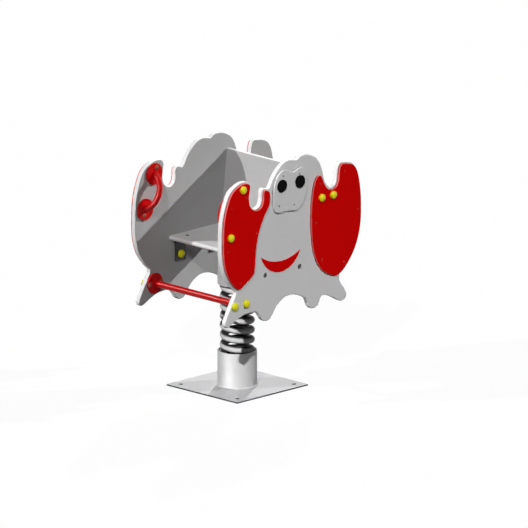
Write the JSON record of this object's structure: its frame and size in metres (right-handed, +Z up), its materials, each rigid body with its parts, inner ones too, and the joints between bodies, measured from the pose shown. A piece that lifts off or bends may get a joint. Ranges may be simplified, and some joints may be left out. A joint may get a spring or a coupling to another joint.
{
  "type": "spring rider",
  "caption": "Animal-shaped spring rider: side panels with claws carry a seat, back board, handles and foot bar on a coil spring above a bolt-down ground plate.",
  "frame": {"origin": "middle of the ground plate's underside, on the spring's axis", "axes": "+Z up along the spring; the rider faces -Y; the side panels stand square to X"},
  "size_m": [0.556, 0.7898, 0.9794],
  "materials": {
    "white_board": "satin, rounded edges",
    "face_board": "satin, rounded edges",
    "red_board": "satin, rounded edges",
    "black_board": "matt",
    "yellow_cap": "moulded, semi-gloss",
    "red_paint": "powder coat, gloss",
    "galvanised_steel": "galvanised, satin",
    "spring_steel": "black lacquer, gloss",
    "dark_steel": "black coat, satin",
    "black_bolt": "black oxide",
    "zinc_steel": "zinc plated"
  },
  "bodies": {
    "base": {"base_plate": "galvanised_steel", "base_tube": "galvanised_steel", "lower_end_disc": "dark_steel", "lower_spring_clamp": "dark_steel", "lower_clamp_bolts": "zinc_steel"},
    "spring": {"spring": "spring_steel"},
    "rider": {"spring_cup": "galvanised_steel", "upper_end_disc": "dark_steel", "upper_spring_clamp": "dark_steel", "upper_clamp_bolts": "zinc_steel", "mounting_plate": "dark_steel", "mounting_screws": "zinc_steel", "seat": "white_board", "back_board": "white_board", "back_brackets": "dark_steel", "back_bracket_screws": "zinc_steel", "left_panel": "white_board", "right_panel": "white_board", "left_front_claw": "red_board", "right_front_claw": "red_board", "left_rear_claw": "red_board", "right_rear_claw": "red_board", "left_claw_screws": "red_paint", "right_claw_screws": "red_paint", "left_face_plate": "face_board", "right_face_plate": "face_board", "left_face_screws": "zinc_steel", "right_face_screws": "zinc_steel", "left_eyes": "black_board", "right_eyes": "black_board", "left_mouth": "red_board", "right_mouth": "red_board", "seat_brackets": "dark_steel", "bracket_bolts": "black_bolt", "bracket_caps": "yellow_cap", "seat_bolts": "black_bolt", "seat_bolt_caps": "yellow_cap", "left_handle_bar": "red_paint", "right_handle_bar": "red_paint", "left_handle_flanges": "red_paint", "right_handle_flanges": "red_paint", "left_handle_bolts": "red_paint", "right_handle_bolts": "red_paint", "left_handle_caps": "yellow_cap", "right_handle_caps": "yellow_cap", "foot_bar": "red_paint", "foot_bar_flanges": "red_paint", "foot_bar_bolts": "red_paint", "foot_bar_caps": "yellow_cap", "rear_bar": "red_paint", "rear_bar_flanges": "red_paint", "rear_bar_bolts": "red_paint", "rear_bar_caps": "yellow_cap"}
  },
  "joints": [
    {"name": "rock_fore_aft", "type": "hinge", "parent": "base", "child": "spring", "pos_m": [0, 0, 0.219], "axis": [1, 0, 0], "range_deg": [-15, 15], "stiffness_Nm_per_rad": 1000, "deforming": ["spring"]},
    {"name": "rock_sideways", "type": "hinge", "parent": "spring", "child": "rider", "pos_m": [0, 0, 0.356], "axis": [0, 1, 0], "range_deg": [-12, 12], "stiffness_Nm_per_rad": 1000, "deforming": ["spring"]}
  ]
}
